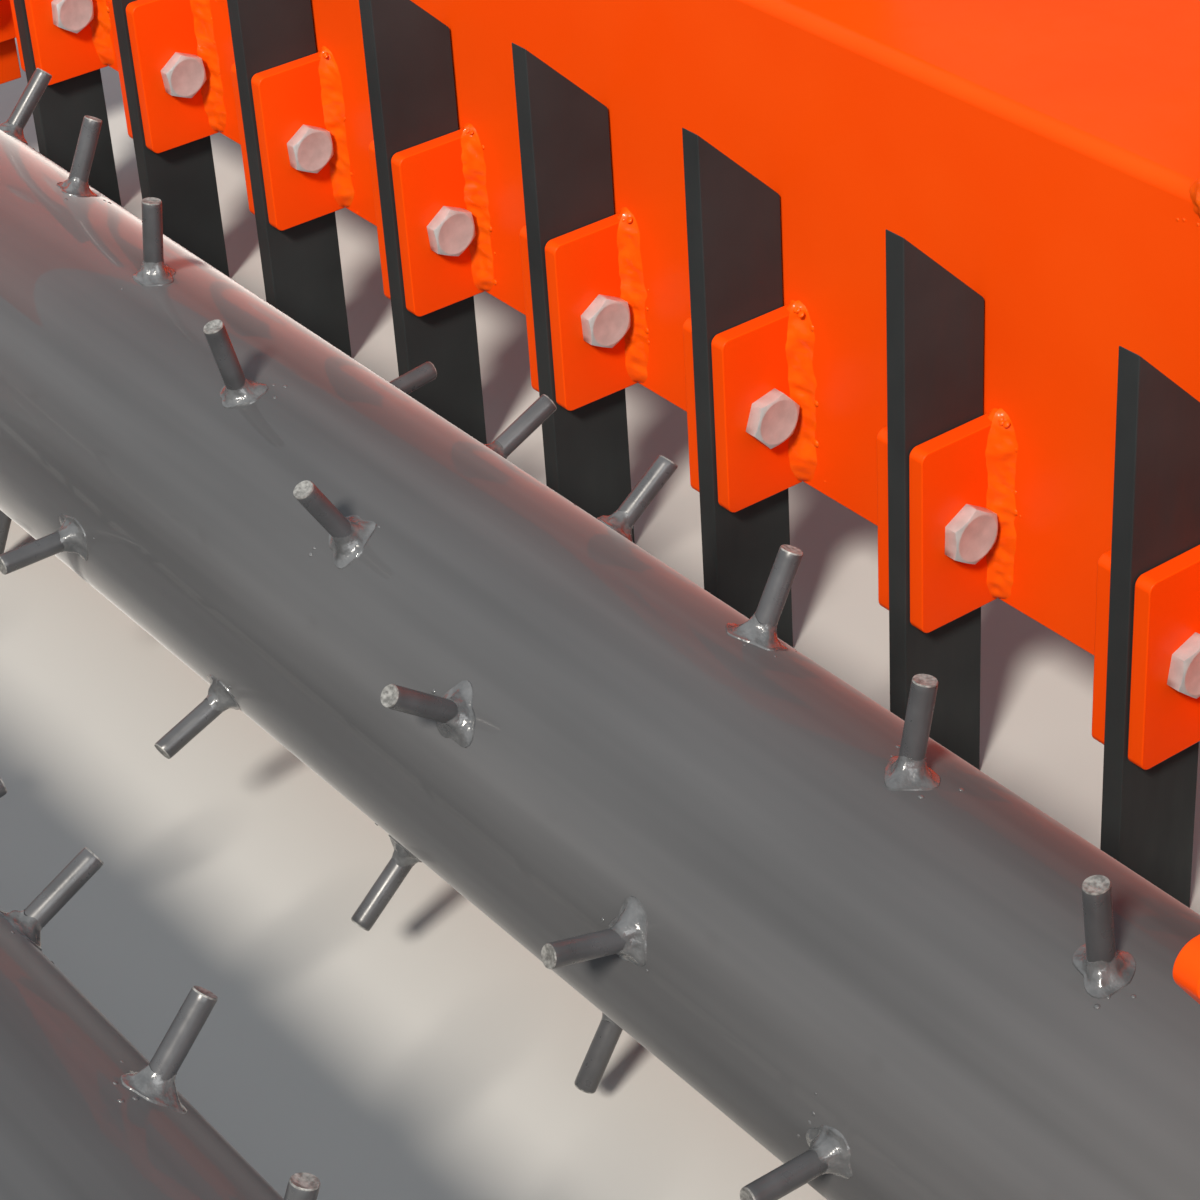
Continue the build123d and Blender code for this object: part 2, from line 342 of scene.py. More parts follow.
def enamel_on_pin_weld():
    """Enamel over the weld round a pin: very glossy on its lumps, so it sparkles."""
    material, tree, shader, place = start_finish("enamel_on_pin_weld")
    lumps = waves(tree, place, 3.5 * MM)
    spatter = waves(tree, place, 1.2 * MM)
    stops = [(0.3, "#525456"), (0.7, "#6f7173")]
    fit(tree, shader, [
        ("Base Color", clouded(tree, place, 7 * MM, stops, 3.0)),
        ("Normal", relief(tree, [(lumps, 0.75, 0.7 * MM), (spatter, 0.5, 0.25 * MM)])),
        ("Roughness", 0.24),
        ("Metallic", 0.1),
        ("Coat Weight", 0.6),
        ("Coat Roughness", 0.06),
    ])
    return material


def zinc_plated_steel():
    """Forged steel with a dull zinc plate: cool pale grey, satin, slightly clouded."""
    material, tree, shader, place = start_finish("zinc_plated_steel")
    forged = waves(tree, place, 2.5 * MM, 3.0)
    stops = [(0.3, "#b7c4c5"), (0.7, "#ccd7d8")]
    fit(tree, shader, [
        ("Base Color", clouded(tree, place, 7 * MM, stops, 4.0)),
        ("Roughness", patchy(tree, place, 3 * MM, 0.3, 0.4)),
        ("Normal", relief(tree, [(forged, 0.12, 0.1 * MM)])),
        ("Metallic", 0.25),
    ])
    return material


def cast_iron_housing():
    """Sand-cast iron in dark grey paint: grainy skin, dull gloss."""
    material, tree, shader, place = start_finish("cast_iron_housing")
    sand = waves(tree, place, 1.8 * MM, 3.0)
    stops = [(0.3, "#333639"), (0.7, "#44484b")]
    fit(tree, shader, [
        ("Base Color", clouded(tree, place, 22 * MM, stops, 4.0)),
        ("Normal", relief(tree, [(sand, 0.5, 0.25 * MM)])),
        ("Roughness", 0.5),
    ])
    return material


def bright_turned_steel():
    """Turned and oiled steel of shaft ends and bearing rings: fine rings left by the tool."""
    material, tree, shader, place = start_finish("bright_turned_steel")
    turned = waves(tree, place, 0.9 * MM, 1.0, (1, 0.1, 0.1))
    stops = [(0.3, "#8d8f91"), (0.7, "#b4b6b8")]
    fit(tree, shader, [
        ("Base Color", clouded(tree, place, 10 * MM, stops, 3.0)),
        ("Normal", relief(tree, [(turned, 0.2, 0.05 * MM)])),
        ("Metallic", 1.0),
        ("Roughness", 0.3),
    ])
    return material


orange = orange_powder_coat()
orange_weld = powder_coat_on_weld()
black_paint = black_shank_paint()
roller_enamel = grey_roller_enamel()
pin_enamel = grey_pin_enamel()
pin_end = enamel_on_sheared_end()
pin_weld = enamel_on_pin_weld()
zinc = zinc_plated_steel()
cast_iron = cast_iron_housing()
turned_steel = bright_turned_steel()


def finish_piece(name, form, materials, body, slot):
    """Makes the shaped form an object in the given materials that rides on a body; slot is not
    used.
    """
    mesh = bpy.data.meshes.new(name)
    bmesh.ops.recalc_face_normals(form, faces=form.faces)
    form.to_mesh(mesh)
    form.free()
    for material in materials:
        mesh.materials.append(material)
    mesh.shade_smooth()
    mesh.set_sharp_from_angle(angle=SHARP_ANGLE)
    piece = bpy.data.objects.new(name, mesh)
    bpy.context.scene.collection.objects.link(piece)
    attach(piece, body)
    return piece


def pour(whole, part):
    """Moves a part's faces into the whole."""
    mesh = bpy.data.meshes.new("part")
    part.to_mesh(mesh)
    part.free()
    whole.from_mesh(mesh)
    bpy.data.meshes.remove(mesh)


def join(whole, part, material=0):
    """Moves a part's faces into the whole, in one of its materials."""
    bmesh.ops.recalc_face_normals(part, faces=part.faces)
    for face in part.faces:
        face.material_index = material
    pour(whole, part)


def ring_stack(segments, count, shape):
    """Closed skin of stacked rings; shape(ring, angle) gives the place of each corner."""
    form = bmesh.new()
    bmesh.ops.create_circle(form, segments=segments, radius=1)
    bmesh.ops.spin(form, geom=form.verts[:] + form.edges[:], cent=(0, 0, 0), axis=UP,
                   dvec=UP, angle=0, steps=count - 1)
    for vert in form.verts:
        vert.co = shape(round(vert.co.z), math.atan2(vert.co.y, vert.co.x))
    rims = [edge for edge in form.edges if edge.is_boundary]
    bmesh.ops.holes_fill(form, edges=rims, sides=0)
    return form


def turned_stack(segments, profile):
    """Round form about Z from (radius, height) pairs, closed at both ends."""
    def shape(ring, angle):
        radius, height = profile[ring]
        return Vector((radius * math.cos(angle), radius * math.sin(angle), height))
    return ring_stack(segments, len(profile), shape)


def placed(form, origin, along, turn=0.0):
    """Moves a form's Z axis to the direction along and its foot to origin."""
    aim = Vector(along).to_track_quat("Z", "Y").to_matrix().to_4x4()
    matrix = Matrix.Translation(origin) @ aim @ Matrix.Rotation(turn, 4, "Z")
    bmesh.ops.transform(form, matrix=matrix, verts=form.verts)
    return form


def hex_form(across, height):
    """Hexagon head or nut, its top corners turned off by a cone."""
    crown = across / 2 * CROWN_TO_FLATS

    def shape(ring, angle):
        flat = (angle + math.pi / 6) % (math.pi / 3) - math.pi / 6
        outline = across / 2 / math.cos(flat)
        rim = height - (outline - crown) * CROWN_SLOPE
        radius, level = [
            (outline * 0.985, 0.0), (outline, 0.03 * height), (outline, rim),
            (crown, height), (crown * 0.96, height), (crown * 0.92, height * 0.985),
        ][ring]
        return Vector((radius * math.cos(angle), radius * math.sin(angle), level))
    return ring_stack(24, 6, shape)


def thread_end(radius, length):
    """Threaded end of a bolt: crests and roots about a thread's pitch apart."""
    root = radius * THREAD_ROOT
    profile = [(root, 0.0)]
    for turn in range(int(length / THREAD_PITCH)):
        profile += [(root, (turn + 0.3) * THREAD_PITCH), (radius, (turn + 0.8) * THREAD_PITCH)]
    profile += [(radius * 0.82, length), (radius * 0.3, length)]
    return turned_stack(16, profile)


def bolt_set(whole, head_place, nut_place, along, sizes, turn):
    """Head standing along one way at its place, nut and thread end the other way at theirs."""
    across, height, radius, stub = sizes
    back = -Vector(along)
    nut_height = height * NUT_TO_HEAD
    join(whole, placed(hex_form(across, height), head_place, along, turn))
    join(whole, placed(hex_form(across, nut_height), nut_place, back, turn * 1.7))
    join(whole, placed(thread_end(radius, nut_height + stub), nut_place, back))


def weld_run(start, end, first, second, legs, seed):
    """Fillet weld in the corner of two surfaces that face along first and second.

    legs gives how far it reaches over the second surface and over the first.
    """
    start, end, first, second = (Vector(value) for value in (start, end, first, second))
    length = (end - start).length
    along = (end - start).normalized()
    out = (first + second).normalized()
    wide = (legs[0] + legs[1]) / 2
    count = max(6, int(length / (RIPPLE_PITCH / 3)) + 1)
    drift = Vector((seed * 7.31, seed * 3.17, 0))

    def reach_of(turn, travel):
        """Share of a leg that the uneven hem reaches at a place along the run."""
        broad = noise.noise(drift + Vector((turn, 0, travel / (13 * MM))))
        fine = noise.noise(drift + Vector((turn, 4, travel / (5 * MM))))
        return 1 + 0.24 * broad + 0.12 * fine

    def swell_of(share, travel):
        """How far the face stands out: hollow, with slanting ripples and lumps."""
        hump = 4 * share * (1 - share)
        wave = travel / RIPPLE_PITCH + 0.5 * hump + 0.8 * share
        wave += 1.4 * noise.noise(drift + Vector((0, 9, travel / (9 * MM))))
        lump = noise.noise(drift + Vector((2.2 * share, 5, travel / (6 * MM) + 0.9 * share)))
        return wide * hump * (0.016 * math.sin(math.tau * wave) + 0.18 * lump - 0.08)

    def shape(ring, angle):
        travel = ring / (count - 1) * length
        to_end = min(1.0, min(travel, length - travel) / (WELD_TAPER * wide))
        blunt = 0.1 + 0.9 * (1 - (1 - to_end) ** 2) ** 0.5
        reach = [leg * blunt * reach_of(turn, travel) for turn, leg in enumerate(legs)]
        share = angle / math.pi + 0.5
        if 0 <= share <= 1:
            return (start + along * travel + first * reach[0] * share
                    + second * reach[1] * (1 - share) + out * swell_of(share, travel) * blunt)
        under = 2 * (share - 1 if share > 1 else -share)
        level, sunk = (1 - under) - WELD_SINK * under, -WELD_SINK * min(1.0, 3 * under)
        across, down = (level, sunk) if share > 1 else (sunk, level)
        return start + along * travel + first * reach[0] * across + second * reach[1] * down
    return ring_stack(20, count, shape)


def droplet(place, out, radius):
    """Bead of weld spatter that has stuck to a surface."""
    form = bmesh.new()
    bmesh.ops.create_icosphere(form, subdivisions=2, radius=radius)
    bmesh.ops.scale(form, vec=(1, 1, 0.45), verts=form.verts)
    return placed(form, place, out)


def weld_heel(place, seed):
    """Lump where a weld has run over a folded edge at a plate's foot."""
    form = bmesh.new()
    bmesh.ops.create_icosphere(form, subdivisions=4, radius=1)
    drift = Vector((seed * 5.3, seed * 2.9, 0))
    for vert in form.verts:
        broad, fine = noise.noise(drift + vert.co * 2.2), noise.noise(drift + vert.co * 6)
        rough = 1 + 0.2 * broad + 0.09 * fine
        vert.co = Vector(size * part * rough for size, part in zip(HEEL_SIZE, vert.co))
    return placed(form, place, UP)


def eased_copy(node, radius, segments=2):
    """Copy of a plate with its flat faces made whole and its cut edges rounded."""
    form = bmesh.new()
    form.from_mesh(frame_nodes[node].data)
    bmesh.ops.remove_doubles(form, verts=form.verts, dist=0.01 * MM)
    bmesh.ops.dissolve_limit(form, angle_limit=FLAT_ANGLE, verts=form.verts, edges=form.edges)
    bmesh.ops.recalc_face_normals(form, faces=form.faces)
    cut = [edge for edge in form.edges
           if edge.is_manifold and edge.calc_face_angle() > CUT_ANGLE]
    bmesh.ops.bevel(form, geom=cut, affect="EDGES", offset=radius, segments=segments,
                    profile=0.5, material=-1)
    return form


def plate_piece(node, material, slot, radius):
    """Plate in its paint, standing for its node."""
    piece = finish_piece(f"{node}_finished", eased_copy(node, radius), [material], "frame", slot)
    even = piece.modifiers.new("even_shading", "WEIGHTED_NORMAL")
    even.keep_sharp = True
    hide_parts(node)


def make_plates():
    """Deck, tabs, shanks, end plates, arms and hitch, each with eased edges."""
    finishes = {
        "tooth_deck": (orange, "orange_paint", SHEET_EDGE),
        "shank": (black_paint, "shank_black", SHANK_EDGE),
    }
    for start in ("tab_pair", "end_plate", "roller_arm", "lower_lug", "top_lug", "mast"):
        finishes[start] = (orange, "orange_paint", PLATE_EDGE)
    for node in sorted(frame_nodes):
        for start, finish in finishes.items():
            if node.startswith(start):
                plate_piece(node, *finish)


def make_shank_bolts():
    """One bolt through each pair of tabs, its head on the right."""
    whole = bmesh.new()
    for index, degrees in enumerate(SHANK_BOLT_TURNS):
        low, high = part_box(f"tab_pair_{index + 1:02d}")
        level = (high.y - SHANK_BOLT_BACK, low.z + SHANK_BOLT_UP)
        bolt_set(whole, Vector((high.x, *level)), Vector((low.x, *level)), (1, 0, 0),
                 SHANK_BOLT, math.radians(degrees))
    finish_piece("shank_bolts", whole, [zinc], "frame", "plated_steel")


def make_tab_welds():
    """Fillet welds that hold the tabs to the rear wall, with drips and spatter beside them."""
    whole = bmesh.new()
    dice = random.Random(11)
    for index in range(len(SHANK_BOLT_TURNS)):
        low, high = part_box(f"tab_pair_{index + 1:02d}")
        for side, face_x in ((-1, low.x), (1, high.x)):
            foot = Vector((face_x, wall_y, low.z + 1 * MM))
            top = Vector((face_x, wall_y, high.z + dice.uniform(5, 7) * MM))
            seed = dice.uniform(0, 99)
            join(whole, weld_run(foot, top, (side, 0, 0), REARWARD, TAB_WELD, seed))
            over, corner = (Vector((face_x + side * reach, wall_y, high.z)) for reach in CAP_SPAN)
            join(whole, weld_run(over, corner, UP, REARWARD, CAP_WELD, seed + 5))
            for _ in range(3):
                spot = Vector((face_x + side * dice.uniform(0, 7) * MM,
                               wall_y - dice.uniform(1, 4) * MM,
                               high.z + dice.uniform(1, 3) * MM))
                join(whole, droplet(spot, (0, -1, 1), dice.uniform(1.2, 2.2) * MM))
                spot = Vector((face_x + side * dice.uniform(0.8, 1.1) * TAB_WELD[0], wall_y,
                               dice.uniform(low.z + 8 * MM, high.z + 3 * MM)))
                join(whole, droplet(spot, REARWARD, dice.uniform(1.2, 2.4) * MM))
            spot = Vector((face_x + side * dice.uniform(14, 26) * MM, wall_y,
                           dice.uniform(low.z, high.z)))
            join(whole, droplet(spot, REARWARD, dice.uniform(0.5, 1.0) * MM))
    finish_piece("tab_welds", whole, [orange_weld], "frame", "orange_paint")


def seam(whole, dice, ends, first, second, legs):
    """Weld between two ends, with ripples of its own."""
    join(whole, weld_run(*ends, first, second, legs, dice.uniform(0, 99)))


def lug_welds(whole, dice, low, high, has_heel):
    """Welds round a lower lug's foot; an outer lug's has run over the deck's fold."""
    back, front = low.y + LUG_WELD_ENDS[0], deck_high.y - LUG_WELD_ENDS[1]
    for way, face_x in ((-1, low.x), (1, high.x)):
        seam(whole, dice, ((face_x, back, top_z), (face_x, front, top_z)), (way, 0, 0), UP,
             HITCH_WELD)
    ends = ((low.x - LUG_WELD_WRAP, low.y, top_z), (high.x + LUG_WELD_WRAP, low.y, top_z))
    seam(whole, dice, ends, REARWARD, UP, HITCH_WELD)
    if has_heel:
        heel = Vector(((low.x + high.x) / 2, wall_y + 4 * MM, top_z - 4 * MM))
        join(whole, weld_heel(heel, dice.uniform(0, 9)))
        for _ in range(6):
            spot = heel + Vector((dice.uniform(-22, 22) * MM, 0, dice.uniform(-14, -6) * MM))
            spot.y = wall_y
            join(whole, droplet(spot, REARWARD, dice.uniform(0.6, 1.6) * MM))


def mast_welds(whole, dice, name, side):
    """Welds at the feet of a brace and a mast bar, and along the bar where it meets its lug."""
    low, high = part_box(f"mast_brace_{name}")
    for way, face_x in ((-1, low.x), (1, high.x)):
        ends = ((face_x, low.y, top_z), (face_x, low.y + BRACE_FOOT, top_z))
        seam(whole, dice, ends, (way, 0, 0), UP, BAR_WELD)
    low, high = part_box(f"mast_bar_{name}")
    outer = high.x if side > 0 else low.x
    foot_ends = sorted((outer, outer - side * MAST_FOOT))
    for way, face_y in ((-1, low.y), (1, high.y)):
        seam(whole, dice, [(x, face_y, top_z) for x in foot_ends], (0, way, 0), UP, BAR_WELD)
    lug_low, lug_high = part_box(f"top_lug_{name}")
    seam_x = lug_high.x if side > 0 else lug_low.x
    levels = (lug_low.z + TOP_WELD_ENDS[0], high.z - TOP_WELD_ENDS[1])
    for way, face_y in ((-1, low.y), (1, high.y)):
        seam(whole, dice, [(seam_x, face_y, z) for z in levels], (0, way, 0), (side, 0, 0),
             BAR_WELD)


def plate_welds(whole, dice, side):
    """Welds of the deck's rear wall and top to an end plate."""
    plate_x, inward = deck_high.x * side, (-side, 0, 0)
    short, long = PLATE_WELD_ENDS
    ends = ((plate_x, wall_y, deck_low.z + short), (plate_x, wall_y, top_z - short))
    seam(whole, dice, ends, inward, REARWARD, BAR_WELD)
    ends = ((plate_x, wall_y + short, top_z), (plate_x, deck_high.y - long, top_z))
    seam(whole, dice, ends, inward, UP, BAR_WELD)


def make_hitch_welds():
    """Welds along the feet of the lugs, the mast bars, the braces and the end plates."""
    whole = bmesh.new()
    dice = random.Random(23)
    for name, side in sides.items():
        for kind in ("outer", "inner"):
            lug_welds(whole, dice, *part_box(f"lower_lug_{kind}_{name}"), kind == "outer")
        mast_welds(whole, dice, name, side)
        plate_welds(whole, dice, side)
    finish_piece("hitch_welds", whole, [orange_weld], "frame", "orange_paint")


def roller_sizes(roller):
    """Axle, tube radius, bore radius and half length of a roller, from its node."""
    ends_low, ends_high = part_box(f"{roller}_ends")
    axle = (ends_low + ends_high) / 2
    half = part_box(f"{roller}_drum")[1].x
    rim = [math.hypot(vert.co.y - axle.y, vert.co.z - axle.z)
           for vert in frame_nodes[f"{roller}_drum"].data.vertices
           if vert.co.x > half - 0.1 * MM]
    return axle, max(rim), min(rim), half


def pin_places(roller, axle, radius):
    """(x, angle, reach) of each pin, from the tips on the roller's node."""
    tips = []
    for vert in frame_nodes[f"{roller}_drum"].data.vertices:
        out = math.hypot(vert.co.y - axle.y, vert.co.z - axle.z)
        if out > radius + PIN_LEAST_REACH:
            near = [tip for tip in tips if (tip[0] - vert.co).length < PIN_TIP_SPREAD]
            if near:
                near[0].append(vert.co.copy())
            else:
                tips.append([vert.co.copy()])
    places = []
    for tip in tips:
        middle = (Vector(map(min, *tip)) + Vector(map(max, *tip))) / 2
        places.append((middle.x, math.atan2(middle.z - axle.z, middle.y - axle.y),
                       math.hypot(middle.y - axle.y, middle.z - axle.z)))
    return sorted(places)


def pin_bar(root, out, length, dice):
    """Round bar of a pin, its outer end sheared a little askew and burred."""
    slant = dice.uniform(-1, 1) * PIN_SHEAR
    burr = dice.uniform(0, math.tau)
    rows = [(1, 0), (1, 0.5), (1, 0.93), (0.99, 0.985), (0.93, 1), (0.8, 0.998), (0.35, 0.985)]

    def shape(ring, around):
        share, level = rows[ring]
        shear = slant * math.cos(around - burr) - abs(slant) if level > 0.9 else 0
        away = share * PIN_RADIUS
        return Vector((away * math.cos(around), away * math.sin(around), level * length + shear))
    bar = ring_stack(24, len(rows), shape)
    for face in bar.faces:
        if face.calc_center_median().z > 0.97 * length:
            face.material_index = 1
    return placed(bar, root, out)


def pin_collar(x, angle, axle, radius, dice):
    """Weld round a pin's foot: a hollow skirt with an uneven hem, bent to the tube."""
    lobes = [(count, dice.uniform(0, math.tau), size * dice.uniform(0.5, 1.2))
             for count, size in ((1, 0.2), (2, 0.24), (3, 0.2), (5, 0.1))]
    width = PIN_WELD_WIDTH * dice.uniform(0.9, 1.15)
    height = PIN_WELD_HEIGHT * dice.uniform(0.8, 1.15)
    drift = Vector((dice.uniform(0, 99), dice.uniform(0, 99), 0))

    def shape(ring, around):
        swell = 1 + sum(size * math.cos(count * around - phase) for count, phase, size in lobes)
        rise_share = max(0, ring - 1) / (PIN_WELD_RINGS - 2)
        arc = rise_share * math.pi / 2
        lump = noise.noise(drift + Vector((2.2 * math.cos(around), 2.2 * math.sin(around),
                                           2.5 * rise_share)))
        away = PIN_RADIUS * 0.97 + width * max(0.3, swell) * (1 - math.sin(arc)) ** 0.85
        away += 1.1 * MM * lump * math.cos(arc)
        rise = 0.7 * MM + height * (0.6 + 0.4 * swell) * (1 - math.cos(arc))
        rise += 1.6 * MM * max(0.0, lump + 0.1) * math.sin(2 * arc)
        if ring == 0:
            away, rise = away + 0.5 * MM, -0.8 * MM
        turn = angle + away * math.sin(around) / radius
        reach = radius + rise
        return Vector((x + away * math.cos(around), axle.y + reach * math.cos(turn),
                       axle.z + reach * math.sin(turn)))
    return ring_stack(36, PIN_WELD_RINGS, shape)


def roller_tube(axle, radius, bore, half):
    """Tube with its outer rims eased."""
    tube = bmesh.new()
    outline = [(-half + TUBE_EDGE, radius), (half - TUBE_EDGE, radius), (half, radius - TUBE_EDGE),
               (half, bore), (-half, bore), (-half, radius - TUBE_EDGE)]
    corners = [tube.verts.new((x, axle.y, axle.z + out)) for x, out in outline]
    edges = [tube.edges.new((corners[place - 1], corners[place]))
             for place in range(len(corners))]
    bmesh.ops.spin(tube, geom=corners + edges, cent=axle, axis=(1, 0, 0), angle=math.tau,
                   steps=128, use_merge=True)
    return tube


def make_roller(roller, body, seed):
    """Tube, pins with their sheared ends, weld collars and spatter of one roller."""
    axle, radius, bore, half = roller_sizes(roller)
    dice = random.Random(seed)
    skin = finish_piece(f"{roller}_tube", roller_tube(axle, radius, bore, half),
                        [roller_enamel], body, "roller_grey")
    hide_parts(f"{roller}_drum")

    bars, collars = bmesh.new(), bmesh.new()
    for x, angle, reach in pin_places(roller, axle, radius):
        out = Vector((0, math.cos(angle), math.sin(angle)))
        root = Vector((x, axle.y, axle.z)) + out * (radius - PIN_ROOT)
        pour(bars, pin_bar(root, out, reach - radius + PIN_ROOT, dice))
        join(collars, pin_collar(x, angle, axle, radius, dice))
        for _ in range(dice.randint(1, 4)):
            away = dice.uniform(14, 24) * MM
            around = dice.uniform(0, math.tau)
            turn = angle + away * math.sin(around) / radius
            side = Vector((0, math.cos(turn), math.sin(turn)))
            spot = Vector((x + away * math.cos(around), axle.y, axle.z)) + side * radius
            join(collars, droplet(spot, side, dice.uniform(0.5, 1.3) * MM))
    finish_piece(f"{roller}_pins", bars, [pin_enamel, pin_end], body, "roller_grey")
    finish_piece(f"{roller}_pin_welds", collars, [pin_weld], body, "roller_grey")


def end_bead(axle, at_x, disc_radius, drift):
    """Rippled ring weld between a tube's end and its disc."""
    bead = bmesh.new()
    place = Matrix.Translation((at_x, axle.y, axle.z + disc_radius))
    bmesh.ops.create_circle(bead, segments=8, radius=END_BEAD,
                            matrix=place @ Matrix.Rotation(math.pi / 2, 4, "X"))
    bmesh.ops.spin(bead, geom=bead.verts[:] + bead.edges[:], cent=axle, axis=(1, 0, 0),
                   angle=math.tau, steps=2 * END_BEAD_RIPPLES, use_merge=True)
    for vert in bead.verts:
        around = math.atan2(vert.co.z - axle.z, vert.co.y - axle.y)
        out = Vector((0, math.cos(around), math.sin(around)))
        swell = 0.5 * MM * noise.noise(drift + Vector((6 * out.y, 6 * out.z, 0)))
        swell += 0.25 * MM * math.sin(around * END_BEAD_RIPPLES)
        vert.co += out * swell
    return bead


def make_roller_ends(roller, body, seed):
    """End discs, stub shafts and the ring weld that closes each end."""
    axle, _, _, half = roller_sizes(roller)
    low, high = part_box(f"{roller}_ends")
    disc_radius = (high.z - low.z) / 2
    reach = high.x - half
    ends, welds = bmesh.new(), bmesh.new()
    for side in sides.values():
        profile = [
            (disc_radius - 0.8 * MM, 0), (disc_radius, 0.6 * MM),
            (disc_radius, DISC_THICK - 1.2 * MM), (disc_radius - 1.2 * MM, DISC_THICK),
            (SHAFT_RADIUS + 6 * MM, DISC_THICK), (SHAFT_RADIUS + 2 * MM, DISC_THICK + 2 * MM),
            (SHAFT_RADIUS, DISC_THICK + 6 * MM), (SHAFT_RADIUS, reach - 1.5 * MM),
            (SHAFT_RADIUS - 1.5 * MM, reach), (4 * MM, reach),
        ]
        form = turned_stack(64, profile)
        for face in form.faces:
            face.material_index = 1 if face.calc_center_median().z > reach - 1.6 * MM else 0
        pour(ends, placed(form, Vector((side * half, axle.y, axle.z)), (side, 0, 0)))
        drift = Vector((seed * 3.3 + side, 0, 0))
        join(welds, end_bead(axle, side * half + 1.5 * MM * side, disc_radius, drift))
    piece = finish_piece(f"{roller}_end_discs", ends, [roller_enamel, turned_steel], body,
                         "roller_grey")
    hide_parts(f"{roller}_ends")
    finish_piece(f"{roller}_end_welds", welds, [pin_weld], body, "roller_grey")


def make_bearing(name, node):
    """Square flanged bearing housing with its ring, four bolts and a grease nipple."""
    low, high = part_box(node)
    side = 1 if high.x > 0 else -1
    inner, outer = (low.x, high.x) if side > 0 else (high.x, low.x)
    axle = Vector((inner, (low.y + high.y) / 2, (low.z + high.z) / 2))
    half = (high.y - low.y) / 2
    reach = abs(outer - inner)
    out = Vector((side, 0, 0))
    thick, bore, boss = FLANGE_THICK, BEARING_BORE, BEARING_BOSS
    whole = bmesh.new()

    def flange_shape(ring, around):
        ease, level = [(1.0, 0), (1.0, 0.82), (0.985, 0.95), (0.96, 1.0)][ring]
        flat = (around + math.pi / 4) % (math.pi / 2) - math.pi / 4
        square = half / max(math.cos(flat), 0.5)
        away = min(square, half * FLANGE_CORNER) * ease
        return Vector((away * math.cos(around), away * math.sin(around), level * thick))
    join(whole, placed(ring_stack(72, 4, flange_shape), axle, out))
    housing = [
        (boss + 5 * MM, thick - 1 * MM), (boss + 2 * MM, thick + 1 * MM), (boss, thick + 4 * MM),
        (boss - 1 * MM, reach - 4 * MM), (boss - 4 * MM, reach - 1 * MM),
        (boss - 6 * MM, reach - 1 * MM), (boss - 8 * MM, reach - 4 * MM),
        (boss - 10 * MM, reach - 4 * MM),
    ]
    join(whole, placed(turned_stack(64, housing), axle, out))
    ring = [
        (boss - 10 * MM, reach - 6 * MM), (boss - 10.5 * MM, reach - 0.8 * MM),
        (boss - 11.5 * MM, reach), (bore + 1 * MM, reach), (bore, reach - 1 * MM),
        (bore, reach - 2.6 * MM),
    ]
    join(whole, placed(turned_stack(64, ring), axle, out), 1)
    nipple = [
        (3.5 * MM, 0), (3.5 * MM, 3 * MM), (2.2 * MM, 3.5 * MM), (2.2 * MM, 6 * MM),
        (3 * MM, 7 * MM), (3 * MM, 8.5 * MM), (1.4 * MM, 9.5 * MM),
    ]
    seat = axle + out * (thick + 9 * MM) + Vector((0, 0, boss - 0.8 * MM))
    join(whole, placed(turned_stack(16, nipple), seat, UP), 2)
    spacing = half - BEARING_BOLT_IN
    for across in (-1, 1):
        for rise in (-1, 1):
            seat = axle + out * thick + Vector((0, across * spacing, rise * spacing))
            join(whole, placed(hex_form(*BEARING_HEAD), seat, out, 0.3 * across + rise), 2)
    piece = finish_piece(name, whole, [cast_iron, turned_steel, zinc], "frame", "bearing_cast")
    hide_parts(node)


def make_arm_bolts():
    """Four bolts that hold each roller arm to its end plate."""
    whole = bmesh.new()
    for name, side in sides.items():
        arm_low, arm_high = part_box(f"roller_arm_{name}")
        plate_low, plate_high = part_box(f"end_plate_{name}")
        outer, inner = (arm_high.x, plate_low.x) if side > 0 else (arm_low.x, plate_high.x)
        for back in ARM_BOLTS_BACK:
            for rise in ARM_BOLTS_UP:
                level = (wall_y - back, rise)
                turn = back * 90 + rise * 40
                bolt_set(whole, Vector((outer, *level)), Vector((inner, *level)), (side, 0, 0),
                         ARM_BOLT, turn)
    finish_piece("arm_bolts", whole, [zinc], "frame", "plated_steel")


def make_camera():
    """Camera at the photograph's viewing angle."""
    data = bpy.data.cameras.new("photo_camera")
    data.lens = CAMERA_LENS
    data.sensor_width = SENSOR_WIDTH
    camera = bpy.data.objects.new("photo_camera", data)
    bpy.context.scene.collection.objects.link(camera)
    aim = (CAMERA_AIM - CAMERA_PLACE).to_track_quat("-Z", "Y").to_matrix().to_4x4()
    roll = Matrix.Rotation(CAMERA_ROLL, 4, "Z")
    camera.matrix_world = Matrix.Translation(CAMERA_PLACE) @ aim @ roll
    bpy.context.scene.camera = camera


def add_sun(name, towards, settings):
    """Lamp that shines from one direction over the whole machine."""
    data = bpy.data.lights.new(name, "SUN")
    for setting, value in settings.items():
        setattr(data, setting, value)
    lamp = bpy.data.objects.new(name, data)
    bpy.context.scene.collection.objects.link(lamp)
    aim = (-towards).to_track_quat("-Z", "Y").to_matrix().to_4x4()
    lamp.matrix_world = Matrix.Translation(towards * LAMP_AWAY) @ aim


def seen_rays(tree):
    """1 for rays from the camera and in mirror or glass, 0 for those that carry soft light."""
    path = add(tree, "ShaderNodeLightPath").outputs
    mirrored = add(tree, "ShaderNodeMath", [(0, path["Is Glossy Ray"]),
                                            (1, path["Is Transmission Ray"])],
                   operation="MAXIMUM").outputs["Value"]
    return add(tree, "ShaderNodeMath", [(0, path["Is Camera Ray"]), (1, mirrored)],
               operation="MAXIMUM").outputs["Value"]


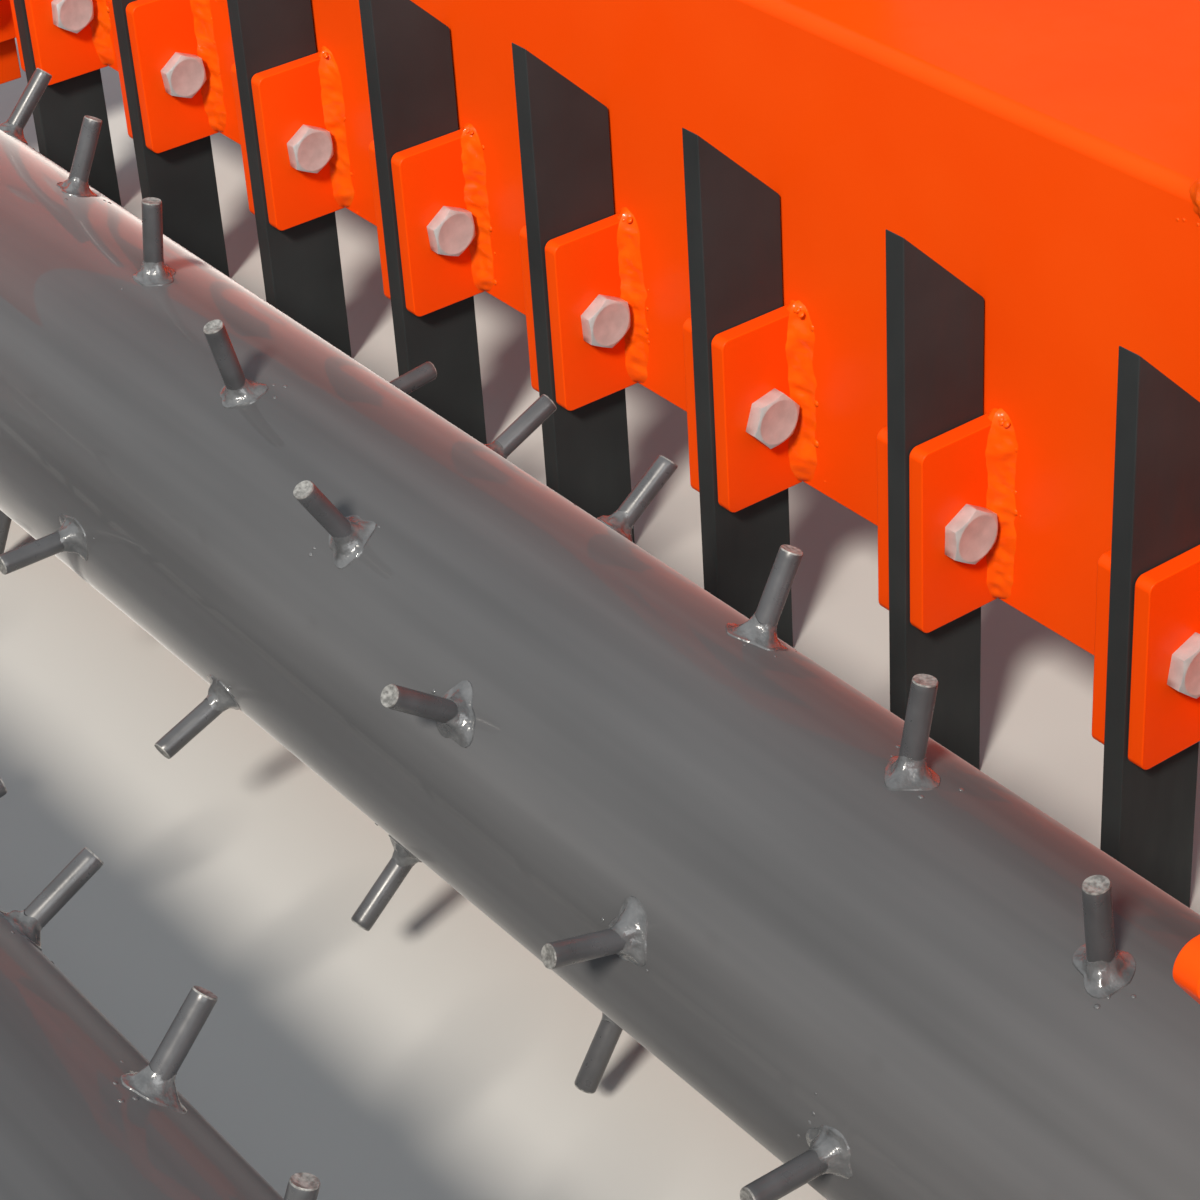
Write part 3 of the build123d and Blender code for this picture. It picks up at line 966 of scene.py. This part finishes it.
def make_floor():
    """Plain pale floor that keeps the machine's shadow and throws little light back."""
    form = bmesh.new()
    bmesh.ops.create_grid(form, x_segments=1, y_segments=1, size=FLOOR_HALF)
    mesh = bpy.data.meshes.new("studio_floor")
    form.to_mesh(mesh)
    form.free()
    floor = bpy.data.objects.new("studio_floor", mesh)
    bpy.context.scene.collection.objects.link(floor)
    material, tree, shader, _ = start_finish("pale_floor")
    pale = add(tree, "ShaderNodeMix", [
        ("Factor", seen_rays(tree)), (MIX_LOW, colour("#8a8884")), (MIX_HIGH, colour("#d2d1ce")),
    ], data_type="RGBA").outputs[MIX_RESULT]
    fit(tree, shader, [("Base Color", pale), ("Roughness", 0.9), ("Specular IOR Level", 0.0)])
    mesh.materials.append(material)


def make_sky():
    """Soft sky: plain to the camera, brighter overhead and darker to the front in mirrors."""
    world = bpy.data.worlds.new("studio")
    bpy.context.scene.world = world
    world.use_nodes = True
    tree = world.node_tree
    direction = add(tree, "ShaderNodeTexCoord").outputs["Generated"]
    split = add(tree, "ShaderNodeSeparateXYZ", [("Vector", direction)]).outputs
    soft_sky = add(tree, "ShaderNodeValToRGB", [("Fac", split["Z"])], [
        (0.0, "#959a9f"), (0.35, "#9fa6ad"), (1.0, "#a4acb4"),
    ]).outputs["Color"]
    seen_sky = add(tree, "ShaderNodeValToRGB", [("Fac", split["Z"])], [
        (0.0, "#a2a5a6"), (0.18, "#aeb2b5"), (0.32, "#dfe3e7"),
        (0.42, "#c3c8cc"), (0.56, "#eef1f4"), (1.0, "#d8dde2"),
    ]).outputs["Color"]
    to_front = add(tree, "ShaderNodeMapRange", [
        ("Value", split["Y"]), ("From Min", 0.05), ("From Max", 0.35), ("To Min", 0.0),
        ("To Max", 0.8),
    ]).outputs["Result"]
    is_camera = add(tree, "ShaderNodeLightPath").outputs["Is Camera Ray"]
    sky = soft_sky
    mirrored_sky = add(tree, "ShaderNodeMix", [
        ("Factor", to_front), (MIX_LOW, seen_sky), (MIX_HIGH, colour("#54575a")),
    ], data_type="RGBA").outputs[MIX_RESULT]
    for fac, high in ((seen_rays(tree), mirrored_sky), (is_camera, colour("#dad8d2"))):
        sky = add(tree, "ShaderNodeMix", [("Factor", fac), (MIX_LOW, sky), (MIX_HIGH, high)],
                  data_type="RGBA").outputs[MIX_RESULT]
    fit(tree, tree.nodes["Background"], [("Color", sky)])


make_camera()
make_floor()
make_sky()
add_sun("sun", TO_SUN, {"energy": SUN_STRENGTH, "angle": SUN_ANGLE,
                        "color": colour("#fff6ea")[:3]})
add_sun("fill_lamp", TO_FILL, {"energy": FILL_STRENGTH, "angle": FILL_ANGLE})
make_plates()
make_shank_bolts()
make_tab_welds()
make_hitch_welds()
for order, roller in enumerate(("front_roller", "rear_roller")):
    make_roller(roller, roller, 31 + order)
    make_roller_ends(roller, roller, 5 + order)
for name in sides:
    for end in ("front", "rear"):
        make_bearing(f"{end}_housing_{name}", f"{end}_bearing_{name}")
make_arm_bolts()

bpy.context.scene.view_settings.view_transform = "Standard"
